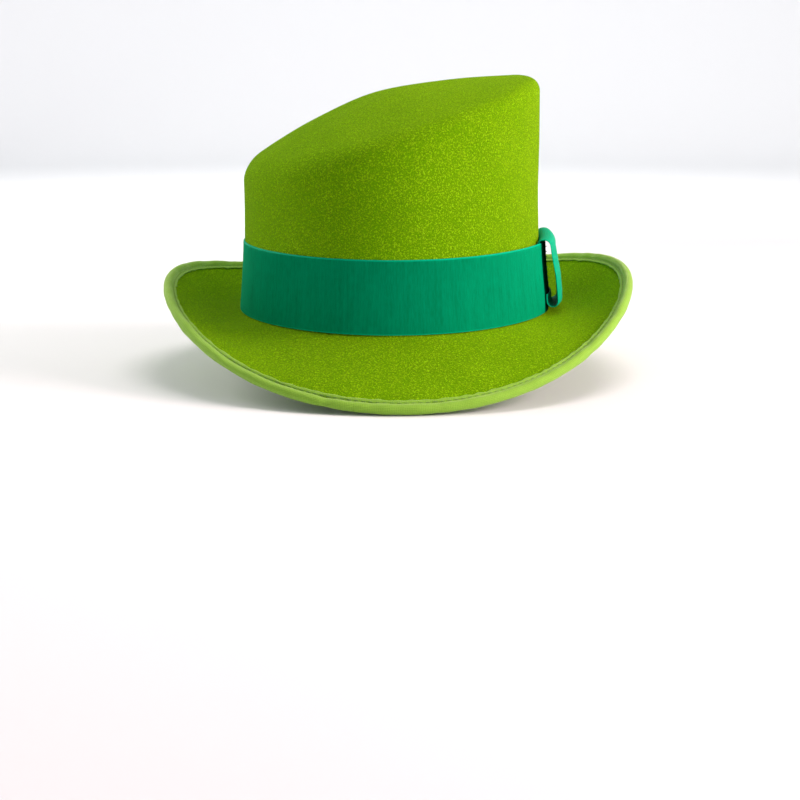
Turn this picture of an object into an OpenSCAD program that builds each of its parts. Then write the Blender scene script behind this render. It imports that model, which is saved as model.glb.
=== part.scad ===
// Felt hat with a slanted, domed crown, a ribbon band with a standing loop, and a saddle-shaped brim.
// Origin: centre of the head opening in the plane of the headline, where crown and brim meet.
// +Z is up along the wearer's head, -Y is the front, +X is the wearer's left.

/* [Crown] */
// Half the crown's width at the top of the band, outside
crown_half_w = 85.2; // [71:0.1:98]
// Half the crown's length, front to back, outside
crown_half_l = 103; // [90:0.5:118]
// Height of the tip's edge above the headline, at the middle of the hat
tip_h = 108.2; // [95:0.1:130]
// Sideways slope of the tip, in degrees, rising towards the wearer's left
tip_slope = 16.8; // [0:0.1:18]
// Slope of the tip from front to back, in degrees, rising towards the back
tip_pitch = 3.5; // [0:0.1:6]
// How far the tip's dome rises above its edge
dome_h = 18; // [6:0.5:30]
// How much fuller the dome is on its low side, as a share
dome_skew = 0.34; // [0:0.01:0.4]
// Radius of the rounded edge between the crown's side and its tip
corner_r = 8; // [4:0.5:12]
// How far the foot of the crown spreads at the headline
foot_spread = 3.2; // [1:0.1:5]
// How much more the foot spreads on the wearer's left than on the right
foot_lean = 0.7; // [0:0.1:1]

/* [Brim] */
// Half the brim's width over its binding
brim_half_w = 135.3; // [128:0.1:150]
// Half the brim's length, front to back, over its binding
brim_half_l = 156; // [146:0.5:188]
// How far the brim's middle lies towards the wearer's left of the crown's middle
brim_shift = 3.8; // [0:0.1:5]
// Height of the brim's edge above the headline, averaged round the hat
edge_mid_h = 1.9; // [-10:0.1:10]
// How far the sides curl up, and the front and back dip, from that average
edge_curl = 14.8; // [4:0.1:20]
// How far the front is turned down and the back turned up
edge_snap = 19.3; // [0:0.1:28]
// How much higher the edge lies on the wearer's left than on the right, halved
edge_lean = 1.4; // [0:0.1:4]
// Height of the second wave along the edge
edge_wave = 1.4; // [0:0.1:3]
// How far the brim's sides and back hollow before they curl up
trough = 6; // [0:0.5:10]
// How much steeper the front falls away from the crown
front_fall = 20; // [0:0.5:26]
// How far the headline dips at the front and back
headline_dip = 1.5; // [0:0.1:4]

/* [Felt] */
// Thickness of the crown's felt
crown_felt = 2.8; // [2:0.1:4]
// Thickness of the brim's felt
brim_felt = 2.6; // [2:0.1:4]
// Height of the collar that the brim turns up inside the crown
collar_h = 12; // [8:0.5:16]

/* [Edge binding and wire] */
// Diameter of the wire in the brim's edge
wire_d = 1.6; // [1:0.1:2]
// Outside diameter of the tube that joins the wire's ends
joiner_d = 2.8; // [2.6:0.1:3.4]
// Length of the tube that joins the wire's ends
joiner_l = 22; // [12:1:30]
// Thickness of the binding's tape
tape_t = 0.7; // [0.4:0.05:1]
// Width of the flat strip inside the binding's row of stitches
tape_lip = 1.5; // [1:0.1:4]
// Width of the rounded bead along the brim's edge
bead_w = 5.2; // [5.2:0.1:7]
// Thickness of the bead
bead_t = 5.4; // [5:0.1:6.5]
// Distance from one stitch of the binding to the next
stitch_pitch = 4; // [3:0.5:6]
// Thickness of the sewing thread
thread_d = 0.5; // [0.3:0.05:0.8]

/* [Ribbon band and loop] */
// Width of the band's ribbon
band_w = 40; // [30:0.5:48]
// Thickness of the band's ribbon
band_t = 1; // [0.6:0.05:1.4]
// Height of the band's lower edge above the headline
band_lift = 0.3; // [0.2:0.1:3]
// Gap between the band's two ends, under the loop
band_gap = 1; // [0.5:0.1:2]
// How far the band stands off the crown over the loop's inner leg
band_swell = 3.3; // [2.8:0.1:5]
// Turn from the loop's middle over which the band comes back to the crown, in degrees
swell_turn = 22; // [20:1:28]
// Turn of the loop's middle from the wearer's left, in degrees, negative towards the front
loop_turn = -4.5; // [-12:0.5:4]
// Width of the loop, along the band
loop_w = 40; // [24:1:42]
// How far the middle of the loop stands above the band's upper edge
loop_rise = 3.8; // [3.6:0.1:8]
// How much higher the loop's back edge stands than its front edge
loop_tilt = 3.2; // [0:0.1:4]
// Clear space between the band and the loop's outer leg, at the top
loop_clear = 5; // [4.5:0.1:9]
// How much wider the loop stands off at its foot than at the top
loop_splay = 1.8; // [0:0.1:2.5]
// Height of the loop's foot above the band's lower edge
loop_foot_lift = 3; // [0:0.5:8]
// How far the loop's inner leg reaches down behind the band
loop_leg = 20; // [12:1:28]
// Thickness of the loop's ribbon
loop_t = 1; // [0.8:0.1:1.3]

/* [Head ribbon] */
// Width of the sweatband
sweat_w = 32; // [24:1:40]
// Thickness of the sweatband
sweat_t = 0.9; // [0.6:0.05:1.4]
// Gap between one hand stitch and the next, centre to centre
hand_pitch = 10; // [6:1:14]
// Length of a hand stitch
hand_stitch = 5; // [3:0.5:6]
// Width of the small bow at the back of the sweatband
bow_w = 34; // [24:1:44]
// Height of the bow
bow_h = 9; // [6:0.5:12]

/* [Fit] */
// Clearance between neighbouring pieces
fit_gap = 0.1; // [0.05:0.05:0.2]
// Steps round the hat
steps = 72; // [48:12:96]

/* [Hidden] */

turn = [for (i = [0:steps - 1]) 360 * i / steps];

// Crown: profile values
dome_power = 1.7;
corner_steps = 5;
dome_steps = 5;
// Heights at which every piece round the foot of the crown has a ring, so that they nest
foot_levels = [0, collar_h / 2, collar_h, (collar_h + band_w) / 2, band_w];
// A sewn piece that lies round the inside of the crown, from the crown's felt inwards
collar_in = crown_felt + fit_gap + brim_felt;
stitch_room = thread_d + 2 * fit_gap;
sweat_out = collar_in + stitch_room;

// Binding and wire: places measured outwards from the felt's edge and up from the felt's middle
wire_room = joiner_d / 2 + fit_gap;
wire_out = wire_room;
bead_end = wire_out + wire_room + tape_t;
bead_mid = bead_end - bead_w / 2;
groove_in = bead_w - bead_end;
lip_in = groove_in + thread_d + tape_lip;
felt_lift = brim_felt / 2 + 1.5 * fit_gap;
groove_lift = felt_lift + tape_t / 2;
lip_lift = felt_lift + tape_t;
bead_turns = [150, 110, 60];
// The wire's room in the tape is a hexagon round the joiner
room_corner = wire_room / cos(30);
wire_end_gap = 1;

// Half sizes of the felt brim without its binding
felt_half_w = brim_half_w - bead_end;
felt_half_l = brim_half_l - bead_end;

// Radial distance of a point of the headline's oval, moved out by d along its own normal
function oval(t, d) =
    let (n = [crown_half_l * cos(t), crown_half_w * sin(t)], u = n / norm(n))
    [crown_half_w * cos(t), crown_half_l * sin(t)] + d * u;
// Spread of the crown's foot at height z above the headline
function spread(t, z) = let (k = max(0, 1 - z / band_w)) (foot_spread + foot_lean * cos(t)) * pow(k, 1.4);
// Dip of the headline at the front and back
function dip(t) = -headline_dip * pow(sin(t), 2);
// Point on the crown's side, d outside its outer face and z above the headline
function side(t, d, z) = let (p = oval(t, d + spread(t, z))) [p.x, p.y, z + dip(t)];

// Height of the crown's outer face at share r of the way from the middle to the side
function tip_z(t, r) =
    let (r0 = 1 - corner_r / crown_half_w, q = max(0, (r - r0) / (1 - r0)))
    tip_h + tan(tip_slope) * crown_half_w * r * cos(t) + tan(tip_pitch) * crown_half_l * r * sin(t)
    + dome_h * (1 - pow(r, dome_power)) * (1 - dome_skew * r * cos(t))
    - corner_r * (1 - sqrt(max(0, 1 - q * q)));
// Shares used for the rings of the rounded edge and of the dome
edge_shares = [for (i = [1:corner_steps]) 1 - corner_r / crown_half_w * (1 - cos(90 * i / corner_steps))];
dome_shares = [for (i = [1:dome_steps]) edge_shares[corner_steps - 1] * (1 - i / (dome_steps + 1))];
shares = concat(edge_shares, dome_shares);

// Rings of one face of the crown, d inside its outer face, from the headline to the last dome ring
function crown_rings(d) = concat(
    [for (z = foot_levels) [for (t = turn) side(t, -d, z)]],
    [[for (t = turn) side(t, -d, tip_z(t, 1) - dip(t))]],
    [for (r = shares) [for (t = turn)
        let (p = oval(t, -d) * r) [p.x, p.y, tip_z(t, r) - d * rise_share(r)]]]);
// The felt's thickness turns from sideways to upwards round the rounded edge
function rise_share(r) = let (q = max(0, 1 - (1 - r) * crown_half_w / corner_r)) sqrt(1 - q * q);

// Brim: height of its edge, and a point and unit directions at share s from the headline to the edge
function edge_z(t) = edge_mid_h + edge_curl * cos(2 * t) + edge_snap * sin(t) + edge_lean * cos(t)
    + edge_wave * (sin(2 * t) + cos(4 * t));
function fall(t) = -trough - front_fall * pow(max(0, -sin(t)), 2);
function brim_start(t) = side(t, 0, 0);
function brim_span(t) = [brim_shift + felt_half_w * cos(t), felt_half_l * sin(t)]
    - [brim_start(t).x, brim_start(t).y];
function brim_at(t, s) =
    let (a = brim_start(t), h = brim_span(t) * s, z0 = dip(t))
    [a.x + h.x, a.y + h.y, z0 + (edge_z(t) - z0) * s * s + fall(t) * s * (1 - s)];
function brim_dir(t, s) =
    let (h = brim_span(t), d = [h.x, h.y, 2 * (edge_z(t) - dip(t)) * s + fall(t) * (1 - 2 * s)]) d / norm(d);
function brim_up(t, s) =
    let (d = brim_dir(t, s), h = norm([d.x, d.y])) [-d.x * d.z / h, -d.y * d.z / h, h];
// Share of the way to the felt's edge at a distance in from it
function share_in(t, in) =
    let (h = brim_span(t)) 1 - in / norm([h.x, h.y, 2 * (edge_z(t) - dip(t)) - fall(t)]);
// Point out from the felt's edge and up from the felt's middle layer; inwards it follows the felt
function edge_at(t, out, up) =
    let (s = share_in(t, max(0, -out)))
    brim_at(t, s) + max(0, out) * brim_dir(t, 1) + (up - brim_felt / 2) * brim_up(t, s);

// Faces of a closed solid between two grids of points; wrap joins the last column to the first
function quad(a, b, c, d) = [[a, b, c], [a, c, d]];
module skin_solid(front, back, wrap) {
    rows = len(front);
    cols = len(front[0]);
    span = wrap ? cols - 1 : cols - 2;
    f = function(i, j) i * cols + j % cols;
    b = function(i, j) rows * cols + i * cols + j % cols;
    faces = [for (i = [0:rows - 2], j = [0:span])
                 each concat(quad(f(i, j), f(i + 1, j), f(i + 1, j + 1), f(i, j + 1)),
                             quad(b(i, j + 1), b(i + 1, j + 1), b(i + 1, j), b(i, j)))];
    rims = [for (j = [0:span])
                each concat(quad(f(0, j + 1), b(0, j + 1), b(0, j), f(0, j)),
                            quad(f(rows - 1, j), b(rows - 1, j), b(rows - 1, j + 1), f(rows - 1, j + 1)))];
    ends = wrap ? [] : [for (i = [0:rows - 2])
                            each concat(quad(f(i, 0), b(i, 0), b(i + 1, 0), f(i + 1, 0)),
                                        quad(f(i + 1, cols - 1), b(i + 1, cols - 1), b(i, cols - 1),
                                             f(i, cols - 1)))];
    polyhedron(concat([for (r = front) each r], [for (r = back) each r]), concat(faces, rims, ends));
}

// Closed solid between two cups of rings, each closed by a middle point
module cup_solid(outer, outer_mid, inner, inner_mid) {
    rows = len(outer);
    o = function(i, j) i * steps + j % steps;
    n = function(i, j) rows * steps + i * steps + j % steps;
    mids = 2 * rows * steps;
    walls = [for (i = [0:rows - 2], j = [0:steps - 1])
                 each concat(quad(o(i, j), o(i + 1, j), o(i + 1, j + 1), o(i, j + 1)),
                             quad(n(i, j + 1), n(i + 1, j + 1), n(i + 1, j), n(i, j)))];
    foot = [for (j = [0:steps - 1]) each quad(o(0, j + 1), n(0, j + 1), n(0, j), o(0, j))];
    caps = [for (j = [0:steps - 1]) each [[o(rows - 1, j), mids, o(rows - 1, j + 1)],
                                          [n(rows - 1, j + 1), mids + 1, n(rows - 1, j)]]];
    polyhedron(concat([for (r = outer) each r], [for (r = inner) each r], [outer_mid, inner_mid]),
               concat(walls, foot, caps));
}

// Closed tube through rings of points; wrap joins the last ring to the first
module tube_solid(rings, wrap) {
    n = len(rings);
    m = len(rings[0]);
    p = function(i, j) (i % n) * m + j % m;
    walls = [for (i = [0:wrap ? n - 1 : n - 2], j = [0:m - 1])
                 each quad(p(i, j + 1), p(i + 1, j + 1), p(i + 1, j), p(i, j))];
    caps = wrap ? [] : [[for (j = [m - 1:-1:0]) p(0, j)], [for (j = [0:m - 1]) p(n - 1, j)]];
    polyhedron([for (r = rings) each r], concat(walls, caps));
}

// Many stitches, each a spindle from point a to point b, flattened against the cloth
module stitch_solids(list) {
    spindle = [for (s = list)
        let (a = s[0], b = s[1], up = s[2] * thread_d / 2, m = (a + b) / 2,
             w = cross(b - a, s[2]), side_step = w / norm(w) * thread_d / 2)
        each [a, m + side_step, m + up, m - side_step, m - up, b]];
    polyhedron(spindle, [for (k = [0:len(list) - 1]) let (n = 6 * k)
        each [[n, n + 2, n + 1], [n, n + 3, n + 2], [n, n + 4, n + 3], [n, n + 1, n + 4],
              [n + 5, n + 1, n + 2], [n + 5, n + 2, n + 3], [n + 5, n + 3, n + 4], [n + 5, n + 4, n + 1]]]);
}

module crown() {
    mid = function(d) [0, 0, tip_h + dome_h - d];
    color([0.44, 0.60, 0.02])
        cup_solid(crown_rings(0), mid(0), crown_rings(crown_felt), mid(crown_felt));
}

// The felt brim, with its collar standing inside the crown; its last rings lie under the binding's edges
brim_steps = 6;
module brim() {
    collar = function(d, levels) [for (z = levels) [for (t = turn) side(t, -d, z)]];
    ring = function(d, share) [for (t = turn)
        let (s = share(t)) brim_at(t, s) - (d + fit_gap * (1 - s)) * brim_up(t, s)];
    plate = function(d) concat(
        [for (i = [0:brim_steps]) ring(d, function(t) share_in(t, lip_in) * i / brim_steps)],
        [for (in = [groove_in, 0]) ring(d, function(t) share_in(t, in))]);
    top = concat(collar(crown_felt + fit_gap, [collar_h, collar_h / 2, -fit_gap]), plate(0));
    under = concat(collar(collar_in, [collar_h, collar_h / 2, -brim_felt / 2]), plate(brim_felt));
    color([0.42, 0.58, 0.02]) skin_solid(under, top, true);
}

// Steel wire round the edge, its two ends meeting at the back
module brim_wire() {
    end = wire_end_gap / 2 / felt_half_w * 180 / PI;
    stops = concat([90 + end], [for (t = turn) if (t > end && t < 360 - end) 90 + t], [450 - end]);
    color([0.70, 0.71, 0.72])
        tube_solid([for (t = stops) [for (a = [0:60:300])
            edge_at(t, wire_out + wire_d / 2 * cos(a), wire_d / 2 * sin(a))]], false);
}

// Metal tube over the wire's two ends
module wire_joiner() {
    half = joiner_l / 2 / felt_half_w * 180 / PI;
    ring = function(r) [for (t = [90 - half, 90, 90 + half])
        [for (a = [0:30:330]) edge_at(t, wire_out + r * cos(a), r * sin(a))]];
    color([0.80, 0.64, 0.30])
        skin_solid(ring(wire_d / 2 + fit_gap), ring(joiner_d / 2), true);
}

// Tape folded over the felt's edge and the wire: a flat lip, a groove for the stitches and a round bead
bead_side = [for (a = bead_turns)
    [bead_mid + bead_w / 2 * cos(a), max(groove_lift, bead_t / 2 * sin(a))]];
tape_outside = concat(
    [[-lip_in, lip_lift], [-groove_in - thread_d, lip_lift], [-groove_in - thread_d / 2, groove_lift]],
    bead_side, [[bead_end, 0]]);
tape_inside = concat(
    [for (k = [0:2]) [tape_outside[k].x, felt_lift]],
    [[0, felt_lift], [wire_out, room_corner]],
    [[wire_out + wire_room, room_corner / 2], [wire_out + wire_room, 0]]);
function folded(half) = concat(half, [for (k = [len(half) - 2:-1:0]) [half[k].x, -half[k].y]]);
module edge_binding() {
    skin = function(half) [for (p = folded(half)) [for (t = turn) edge_at(t, p.x, p.y)]];
    color([0.56, 0.73, 0.30]) skin_solid(skin(tape_inside), skin(tape_outside), true);
}

// One row of stitches in the binding's groove on the top, and its partner on the underside
module binding_stitches() {
    count = round(PI * (felt_half_w + felt_half_l) / stitch_pitch);
    stitch_share = 0.7;
    lift = groove_lift + thread_d / 2 + 2 * fit_gap;
    color([0.42, 0.58, 0.22])
        stitch_solids([for (k = [0:count - 1], face = [1, -1])
            let (t = 360 * k / count, u = t + 360 / count * stitch_share)
            [edge_at(t, -groove_in, face * lift), edge_at(u, -groove_in, face * lift), brim_up(t, 1)]]);
}

// Ribbon round the foot of the crown, standing off it where the loop's inner leg lies behind;
// its ends meet under the loop
band_top = band_lift + band_w;
band_out = fit_gap + band_t;
// How far the band stands off the crown at turn t and height z; it comes closer near its lower edge
low_share = 0.45;
function swell(t, z) =
    let (turned = (t - loop_turn + 540) % 360 - 180, up = min(1, max(0, z) / (0.3 * band_w)))
    band_swell * exp(-pow(turned / swell_turn, 2)) * (low_share + (1 - low_share) * sqrt(up));
// Point d outside the band's own line
function by_band(t, d, z) = side(t, d + swell(t, z), z);
module hat_band() {
    first = loop_turn + band_gap / 2 / crown_half_l * 180 / PI;
    last = 2 * loop_turn + 360 - first;
    stops = concat([first], [for (lap = [-360, 0, 360], t = turn)
                                if (lap + t > first && lap + t < last) lap + t], [last]);
    face = function(d) [for (z = foot_levels) [for (t = stops) by_band(t, d, band_lift + z)]];
    color([0.01, 0.49, 0.32]) skin_solid(face(band_out), face(fit_gap), false);
}

// Short stitches across the gap between the band's ends
module band_join_stitches() {
    half = 2 * band_gap / crown_half_l * 180 / PI;
    d = band_out + thread_d / 2 + 2 * fit_gap;
    color([0.01, 0.40, 0.26])
        stitch_solids([for (z = [band_lift + 12:3:band_top - 2])
            [by_band(loop_turn - half, d, z), by_band(loop_turn + half, d, z), [1, 0, 0]]]);
}

// Standing loop: a strip from behind the band, over its upper edge and down to its lower edge.
// Each place on its path is a distance out, a height, and its shares of the band's swell and of the tilt
loop_head_h = 6;
loop_foot_h = 3.2;
loop_in = 3 * fit_gap + loop_t / 2;
loop_foot_in = band_out + 3 * fit_gap + loop_t / 2;
loop_out = band_out + loop_clear + loop_t / 2;
loop_head_w = (loop_out - loop_in) / 2;
loop_foot_w = (loop_out + loop_splay - loop_foot_in) / 2;
loop_head_z = band_top + loop_rise - loop_t / 2 - loop_head_h;
loop_foot_z = band_lift + loop_foot_lift + loop_t / 2 + loop_foot_h;
function boxy(x) = sign(x) * pow(abs(x), 0.75);
loop_path = concat(
    [[loop_in, band_top - loop_leg, 0, 0], [loop_in, loop_head_z - 2, 0, 1]],
    [for (a = [180:-30:0]) let (k = 1 + boxy(cos(a)))
        [loop_in + loop_head_w * k, loop_head_z + loop_head_h * boxy(sin(a)), k / 2, 1]],
    [[loop_out + loop_splay, (loop_head_z + loop_foot_z) / 2, 1, 0.5]],
    [for (a = [0:-30:-180])
        [loop_foot_in + loop_foot_w * (1 + cos(a)), loop_foot_z + loop_foot_h * sin(a), 1, 0]],
    [[loop_foot_in, loop_foot_z + 4, 1, 0]]);
// Places of a path moved sideways by d
function beside(path, d) = [for (i = [0:len(path) - 1])
    let (v = path[min(i + 1, len(path) - 1)] - path[max(i - 1, 0)], n = [-v.y, v.x, 0, 0])
    path[i] + d / norm([v.x, v.y]) * n];
// Point of the loop at share k of the way across from its middle, -1 at the front edge and 1 at the back
function loop_at(p, k) =
    let (t = loop_turn + k * loop_w / 2 / crown_half_l * 180 / PI)
    side(t, p.x + p[2] * swell(t, p.y), p.y + p[3] * k * loop_tilt / 2);
module band_loop() {
    skin = function(d) [for (p = beside(loop_path, d)) [for (k = [-1:0.25:1]) loop_at(p, k)]];
    color([0.03, 0.62, 0.42]) skin_solid(skin(-loop_t / 2), skin(loop_t / 2), false);
}

// Stitches that hold the loop's inner leg to the crown and its foot to the band
module loop_stitches() {
    half = thread_d * 2 / (loop_w / 2);
    lift = (loop_t + thread_d) / 2 + 2 * fit_gap;
    rows = [[loop_in + lift, band_top - loop_leg / 2, 0, 0], [loop_foot_in + lift, loop_foot_z + 2, 1, 0]];
    color([0.01, 0.40, 0.26])
        stitch_solids([for (p = rows, k = [-0.8:0.4:0.8])
            [loop_at(p, k - half), loop_at(p, k + half), [1, 0, 0]]]);
}

// Ribbon inside the head opening
sweat_drop = 1.5;
module sweatband() {
    levels = [-sweat_drop, collar_h / 2, collar_h, sweat_w - sweat_drop];
    face = function(d) [for (z = levels) [for (t = turn) side(t, -d, z)]];
    color([0.02, 0.42, 0.28]) skin_solid(face(sweat_out), face(sweat_out + sweat_t), true);
}

// A ring of hand stitches, d inside the crown's face and z above the headline
module hand_stitches(d, z) {
    count = round(PI * (crown_half_w + crown_half_l - 2 * d) / hand_pitch);
    stitch_solids([for (k = [0:count - 1])
        let (t = 360 * k / count, u = t + 360 / count * hand_stitch / hand_pitch)
        [side(t, -d, z), side(u, -d, z), [cos(t), sin(t), 0]]]);
}
module sweatband_stitches() {
    color([0.55, 0.70, 0.30]) hand_stitches(sweat_out + sweat_t + thread_d / 2 + 2 * fit_gap, 1.5);
}
module headline_stitches() {
    color([0.55, 0.70, 0.30]) hand_stitches(collar_in + stitch_room / 2, collar_h * 0.6);
}

// Flat bow at the back of the sweatband, with its knot
bow_t = 1.2;
bow_z = 11;
module bow_slab(half_w, out, thick, height) {
    stops = [for (k = [-4:4]) k / 4];
    face = function(d) [for (side_sign = [-1, 1]) [for (k = stops)
        side(90 + k * half_w / crown_half_w * 180 / PI, -d, bow_z + side_sign * height(k) / 2)]];
    skin_solid(face(out), face(out + thick), false);
}
module sweatband_bow() {
    near = sweat_out + sweat_t + 2 * fit_gap;
    color([0.02, 0.50, 0.33]) {
        bow_slab(bow_w / 2, near, bow_t, function(k) bow_h * (0.4 + 0.6 * abs(k)));
        bow_slab(bow_h * 0.3, near + bow_t + fit_gap, bow_t, function(k) bow_h * 0.7);
    }
}

crown();
brim();
brim_wire();
wire_joiner();
edge_binding();
binding_stitches();
hat_band();
band_join_stitches();
band_loop();
loop_stitches();
sweatband();
sweatband_stitches();
sweatband_bow();
headline_stitches();
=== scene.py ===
import math

import bpy
import numpy as np
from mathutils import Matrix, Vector


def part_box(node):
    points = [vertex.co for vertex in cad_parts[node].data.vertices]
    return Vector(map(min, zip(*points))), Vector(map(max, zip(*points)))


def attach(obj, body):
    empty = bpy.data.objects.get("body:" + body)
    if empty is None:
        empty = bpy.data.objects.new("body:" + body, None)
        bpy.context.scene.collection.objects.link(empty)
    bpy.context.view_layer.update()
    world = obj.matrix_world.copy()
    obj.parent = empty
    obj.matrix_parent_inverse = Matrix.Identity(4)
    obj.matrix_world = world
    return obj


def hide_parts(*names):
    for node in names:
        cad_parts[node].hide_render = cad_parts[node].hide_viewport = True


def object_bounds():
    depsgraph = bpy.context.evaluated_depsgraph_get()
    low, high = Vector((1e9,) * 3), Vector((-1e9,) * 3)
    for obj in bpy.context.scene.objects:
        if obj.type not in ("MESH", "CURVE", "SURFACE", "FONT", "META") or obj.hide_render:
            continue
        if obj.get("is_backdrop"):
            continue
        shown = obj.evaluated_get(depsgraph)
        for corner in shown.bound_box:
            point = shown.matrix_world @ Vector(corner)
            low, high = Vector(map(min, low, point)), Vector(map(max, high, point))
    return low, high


bl_info = {
    "name": "Slant-crowned felt hat",
    "version": (1, 0, 0),
    "blender": (4, 5, 0),
    "location": "3D View > Sidebar > Hat",
    "description": "Builds a felt hat with a slanted crown, a ribbon band and a bound, curled brim",
    "category": "Object",
}

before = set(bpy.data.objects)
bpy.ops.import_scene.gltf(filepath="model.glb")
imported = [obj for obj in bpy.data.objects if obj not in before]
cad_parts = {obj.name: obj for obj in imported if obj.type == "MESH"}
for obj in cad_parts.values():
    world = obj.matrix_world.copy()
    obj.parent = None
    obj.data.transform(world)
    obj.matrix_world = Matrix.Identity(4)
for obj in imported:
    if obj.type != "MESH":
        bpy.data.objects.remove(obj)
CAD_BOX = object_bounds()

MM = 0.001
# Room left between pieces that touch, and between the binding tape and the felt in it
CLEAR = 0.1 * MM
TAPE_ROOM = 0.15 * MM
BODY = "root"
FULL_TURN = 2 * math.pi
CLOTH_UV = "cloth"


def cad_middle(node):
    """Middle of a CAD node's box."""
    low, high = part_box(node)
    return (low + high) / 2


def cad_half(node):
    """Half sizes of a CAD node's box."""
    low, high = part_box(node)
    return (high - low) / 2


# ---------------------------------------------------------------- sizes and colours

def length(name, description, default):
    return bpy.props.FloatProperty(name=name, description=description, default=default,
                                   unit="LENGTH", precision=5)


def angle(name, description, degrees):
    return bpy.props.FloatProperty(name=name, description=description,
                                   default=math.radians(degrees), unit="ROTATION")


def share(name, description, default):
    return bpy.props.FloatProperty(name=name, description=description, default=default,
                                   min=0.0, max=2.0, subtype="FACTOR")


def colour(name, description, red, green, blue):
    return bpy.props.FloatVectorProperty(name=name, description=description, size=3,
                                         default=(red, green, blue), min=0.0, max=1.0,
                                         subtype="COLOR")


class HatCrownSizes(bpy.types.PropertyGroup):
    """Shape of the felt crown"""
    half_width: length("Half width", "Half the crown's width above the band", 85.2 * MM)
    half_length: length("Half length", "Half the crown's length above the band", 103 * MM)
    tip_height: length("Tip height", "Height of the tip's edge over the headline, at the middle", 108.2 * MM)
    tip_slope: angle("Tip slope", "Sideways slope of the tip", 16.8)
    tip_pitch: angle("Tip pitch", "Slope of the tip from front to back", 3.5)
    dome_height: length("Dome height", "Rise of the tip's dome", 18 * MM)
    dome_power: bpy.props.FloatProperty(name="Dome power", description="Fullness of the dome", default=1.7)
    dome_skew: share("Dome skew", "How much fuller the dome is on its low side", 0.34)
    corner: length("Corner radius", "Rounding between the side and the tip", 8 * MM)
    foot_spread: length("Foot spread", "How far the crown's foot spreads", 3.2 * MM)
    foot_lean: length("Foot lean", "Extra spread on the high side", 0.7 * MM)
    felt: length("Felt thickness", "Thickness of the crown's felt", 2.8 * MM)
    headline_dip: length("Headline dip", "How far the headline dips at front and back", 1.5 * MM)
    lumps: length("Unevenness", "Height of the gentle unevenness left by hand blocking", 0.35 * MM)


class HatBrimSizes(bpy.types.PropertyGroup):
    """Shape of the felt brim and its edge"""
    shift: length("Shift", "How far the brim lies to the high side", cad_middle("edge_binding").x)
    half_width: length("Half width", "Half the brim's width over its binding", cad_half("edge_binding").x)
    half_length: length("Half length", "Half the brim's length over its binding", cad_half("edge_binding").y)
    edge_height: length("Edge height", "Average height of the edge over the headline", 1.9 * MM)
    curl: length("Curl", "Rise of the sides and fall of front and back", 14.8 * MM)
    snap: length("Snap", "Fall of the front and rise of the back", 19.3 * MM)
    lean: length("Lean", "Extra height on the high side", 1.4 * MM)
    wave: length("Wave", "Height of the second wave along the edge", 1.4 * MM)
    trough: length("Trough", "Hollow of the sides and back", 6 * MM)
    front_fall: length("Front fall", "Extra steepness of the front", 20 * MM)
    felt: length("Felt thickness", "Thickness of the brim's felt", 2.6 * MM)
    collar: length("Collar", "Height of the collar inside the crown", 12 * MM)


class HatEdgeSizes(bpy.types.PropertyGroup):
    """Binding, wire and stitches along the brim's edge"""
    wire: length("Wire", "Diameter of the wire", 1.6 * MM)
    joiner: length("Joiner", "Diameter of the tube that joins the wire", 2.8 * MM)
    joiner_length: length("Joiner length", "Length of the joiner", 22 * MM)
    tape: length("Tape", "Thickness of the binding tape", 0.7 * MM)
    lip: length("Lip", "Width of the flat strip inside the stitches", 1.5 * MM)
    bead: length("Bead width", "Width of the rounded bead", 5.2 * MM)
    bead_thickness: length("Bead thickness", "Thickness of the rounded bead", 5.4 * MM)
    thread: length("Thread", "Thickness of the sewing thread", 0.5 * MM)
    pitch: length("Stitch pitch", "Distance from one stitch to the next", 4 * MM)


class HatRibbonSizes(bpy.types.PropertyGroup):
    """Ribbon band, loop and head ribbon"""
    width: length("Band width", "Width of the band's ribbon", 40 * MM)
    thickness: length("Band thickness", "Thickness of the band", 1 * MM)
    lift: length("Band lift", "Height of the band's lower edge over the headline", 0.3 * MM)
    rib: length("Rib pitch", "Distance from one rib of the ribbon to the next", 0.56 * MM)
    rib_height: length("Rib height", "Height of the ribs", 0.11 * MM)
    selvedge: length("Selvedge", "Width of the plain edge of the ribbon", 0.8 * MM)
    swell: length("Swell", "How far the band stands off the crown under the loop", 3.3 * MM)
    swell_turn: angle("Swell turn", "Turn over which the band comes back to the crown", 22)
    swell_foot: share("Swell foot", "Share of the swell that is left at the band's lower edge", 0.45)
    loop_turn: angle("Loop turn", "Turn of the loop's middle from the wearer's left", -4.5)
    loop_width: length("Loop width", "Width of the loop along the band", 40 * MM)
    loop_clear: length("Loop gap", "Clear space between the band and the loop, at the top", 5 * MM)
    loop_splay: length("Loop splay", "How much wider the loop stands off at its foot", 1.8 * MM)
    loop_rise: length("Loop rise", "How far the loop stands above the band", 3.8 * MM)
    loop_tilt: length("Loop tilt", "How much higher the loop's back edge is than its front edge", 3.2 * MM)
    loop_foot: length("Loop foot", "Height of the loop's foot above the band's lower edge", 3 * MM)
    loop_leg: length("Loop leg", "How far the loop reaches down behind the band", 20 * MM)
    loop_thickness: length("Loop thickness", "Thickness of the loop's ribbon", 1 * MM)
    sweat_width: length("Sweatband width", "Width of the head ribbon", 32 * MM)
    sweat_thickness: length("Sweatband thickness", "Thickness of the head ribbon", 0.9 * MM)
    hand_pitch: length("Hand stitch pitch", "Distance from one hand stitch to the next", 10 * MM)
    hand_stitch: length("Hand stitch", "Length of a hand stitch", 5 * MM)


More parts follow.
